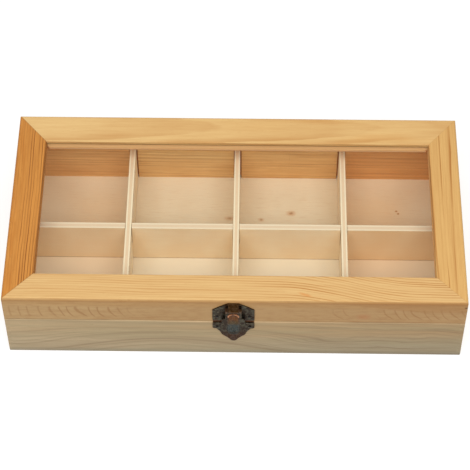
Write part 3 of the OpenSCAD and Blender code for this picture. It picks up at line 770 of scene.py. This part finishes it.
def slab(shape, corners, low, high):
    """A plate with rounded corners and front rim, from low to high out of the box's front."""
    verts = [shape.verts.new(Vector((HASP_X + x, FRONT_Y - low, BASE_H + h)) * MM)
             for x, h in rounded(corners)]
    made = bmesh.ops.extrude_face_region(shape, geom=[shape.faces.new(verts)])["geom"]
    front = [item for item in made if isinstance(item, bmesh.types.BMVert)]
    bmesh.ops.translate(shape, verts=front, vec=(0, (low - high) * MM, 0))
    rim = [e for e in shape.edges if all(v in front for v in e.verts)]
    bmesh.ops.bevel(shape, geom=rim, offset=RIM_ROUND * MM, segments=2, profile=0.5, affect="EDGES")


def lower_plate():
    """A winged plate with a rounded point, and the catch that holds the flap."""
    catch_front = FRONT_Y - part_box("hasp_lower_plate")[0][1] / MM
    catch_back = catch_front - CATCH_T
    shape = bmesh.new()
    slab(shape, both_sides(PLATE_SIDE, [PLATE_POINT]), 0, PLATE_T)
    slab(shape, both_sides(CATCH_FOOT_SIDE), PLATE_T - SHELL_OVERLAP, catch_back + SHELL_OVERLAP)
    slab(shape, both_sides(CATCH_SIDE), catch_back, catch_front)
    bmesh.ops.recalc_face_normals(shape, faces=shape.faces)
    finish = bronze_finish("bronze of the catch plate", lower_plate_stain)
    piece = mesh_object("lower_plate", shape, finish)
    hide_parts("hasp_lower_plate")
    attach(piece, "base")


# ---- The box ----

def finish_box():
    paint(["lid_front_rail"], lid_front_finish())
    paint(["lid_back_rail"], lid_back_finish())
    paint(["lid_left_rail"], lid_left_finish())
    paint(["lid_right_rail"], lid_right_finish())
    paint(["front_board"], base_front_finish())
    paint(["back_board"], base_back_finish())
    paint(["left_board"], base_side_finish("base left pine", 51.0))
    paint(["right_board"], base_side_finish("base right pine", 57.0))
    paint(["bottom_panel"], bottom_finish())
    paint(["long_divider"], long_finish())
    paint(["left_cross_divider", "middle_cross_divider", "right_cross_divider"], cross_finish())
    paint(["front_glass_bead", "back_glass_bead", "left_glass_bead", "right_glass_bead"],
          bead_finish())
    paint(["glass_pane"], glass_finish())
    paint(["left_hinge_lid_leaf", "left_hinge_base_leaf", "right_hinge_lid_leaf",
           "right_hinge_base_leaf"], bronze_finish("aged bronze"))
    paint(["hasp_upper_plate"], bronze_finish("bronze of the hood plate", upper_plate_stain))
    paint(["hasp_flap"], bronze_finish("bronze of the bill", flap_wear_and_painted_light))
    paint(["hasp_upper_nails", "hasp_lower_nails", "hinge_lid_nails", "hinge_base_nails"],
          bronze_finish("blackened nails", ground=tone(30, 25, 22), bloom_tone=tone(44, 40, 34)))
    paint(["hasp_pin", "left_hinge_pin", "right_hinge_pin"], steel_finish())


# ---- Camera, floor and light ----

LENS = 141.85
CAMERA_REACH = 1.42089
CAMERA_HEIGHT = math.radians(53.4314)
CAMERA_SWING = math.radians(1.0236)
CAMERA_ROLL = math.radians(-0.2343)
CAMERA_AIM = Vector((-1.2703, 22.5379, 0)) * MM
FLOOR_HALF_W = 4.0
FLOOR_DROP = 0.2 * MM
FLOOR_GLOW = 0.68
FLOOR_PALE = (0.46, 0.46, 0.46, 1.0)
FLOOR_DARK = (0.44, 0.44, 0.44, 1.0)
LAMP_PLACE = Vector((0.0, -0.8, 1.35))
LAMP_SIZE = (1.8, 1.0)
LAMP_WATTS = 17.6
LAMP_COLOUR = (1.0, 0.99, 0.97)
AMBIENT = 0.5
AMBIENT_COLOUR = (1.0, 0.985, 0.96, 1.0)
WHITE = (1.0, 1.0, 1.0, 1.0)


def aim_camera():
    """A long lens above the front, turned a little off the middle."""
    out = math.cos(CAMERA_HEIGHT)
    back = Vector((math.sin(CAMERA_SWING) * out, -math.cos(CAMERA_SWING) * out,
                   math.sin(CAMERA_HEIGHT)))
    level = Vector((0, 0, 1)).cross(back).normalized()
    upright = back.cross(level)
    side = math.cos(CAMERA_ROLL) * level + math.sin(CAMERA_ROLL) * upright
    top = -math.sin(CAMERA_ROLL) * level + math.cos(CAMERA_ROLL) * upright
    data = bpy.data.cameras.new("camera")
    data.lens = LENS
    data.sensor_width = 36
    data.clip_end = 20
    camera = bpy.data.objects.new("camera", data)
    turn = Matrix((side, top, back)).transposed().to_4x4()
    camera.matrix_world = Matrix.Translation(CAMERA_AIM + back * CAMERA_REACH) @ turn
    bpy.context.scene.collection.objects.link(camera)
    bpy.context.scene.camera = camera


def floor_finish():
    """Matt grey to the box's light, and glowing where the camera, glass or metal sees it."""
    f = Finish("pale studio floor")
    grain = f.noise(f.x * 0.02, f.y * 0.02, 0.0)
    colour = f.mix(grain, FLOOR_PALE, FLOOR_DARK)
    seen, mirrored, through = f.node("ShaderNodeLightPath", out=(
        "Is Camera Ray", "Is Glossy Ray", "Is Transmission Ray"))
    matt = f.node("ShaderNodeBsdfDiffuse", sockets={"Color": colour})
    glow = f.node("ShaderNodeEmission", sockets={"Color": WHITE, "Strength": FLOOR_GLOW})
    lit = f.node("ShaderNodeAddShader", sockets={0: matt, 1: glow})
    bright = seen.most(mirrored).most(through)
    return f.done(f.node("ShaderNodeMixShader", sockets={0: bright, 1: matt, 2: lit}))


def lay_floor():
    shape = bmesh.new()
    bmesh.ops.create_grid(shape, x_segments=8, y_segments=8, size=FLOOR_HALF_W)
    floor = mesh_object("floor", shape, floor_finish())
    floor.location.z = -FLOOR_DROP


def hang_lamp():
    data = bpy.data.lights.new("overhead softbox", "AREA")
    data.shape = "RECTANGLE"
    data.size, data.size_y = LAMP_SIZE
    data.energy = LAMP_WATTS
    data.color = LAMP_COLOUR
    light = bpy.data.objects.new("overhead softbox", data)
    light.location = LAMP_PLACE
    light.rotation_euler = LAMP_PLACE.to_track_quat("Z", "Y").to_euler()
    light.visible_glossy = False
    light.visible_transmission = False
    bpy.context.scene.collection.objects.link(light)


def fill_room():
    """Soft light from all round, and white where the camera looks past the floor."""
    world = bpy.data.worlds.new("room")
    bpy.context.scene.world = world
    world.use_nodes = True
    tree = world.node_tree
    tree.nodes.clear()
    ray = tree.nodes.new("ShaderNodeLightPath")
    pick = tree.nodes.new("ShaderNodeMixShader")
    out = tree.nodes.new("ShaderNodeOutputWorld")
    tree.links.new(ray.outputs["Is Camera Ray"], pick.inputs[0])
    for slot, colour, strength in ((1, AMBIENT_COLOUR, AMBIENT), (2, WHITE, 1.0)):
        sky = tree.nodes.new("ShaderNodeBackground")
        sky.inputs["Color"].default_value = colour
        sky.inputs["Strength"].default_value = strength
        tree.links.new(sky.outputs[0], pick.inputs[slot])
    tree.links.new(pick.outputs[0], out.inputs["Surface"])


aim_camera()
lay_floor()
hang_lamp()
fill_room()
finish_box()
lower_plate()

bpy.context.scene.view_settings.view_transform = "Standard"
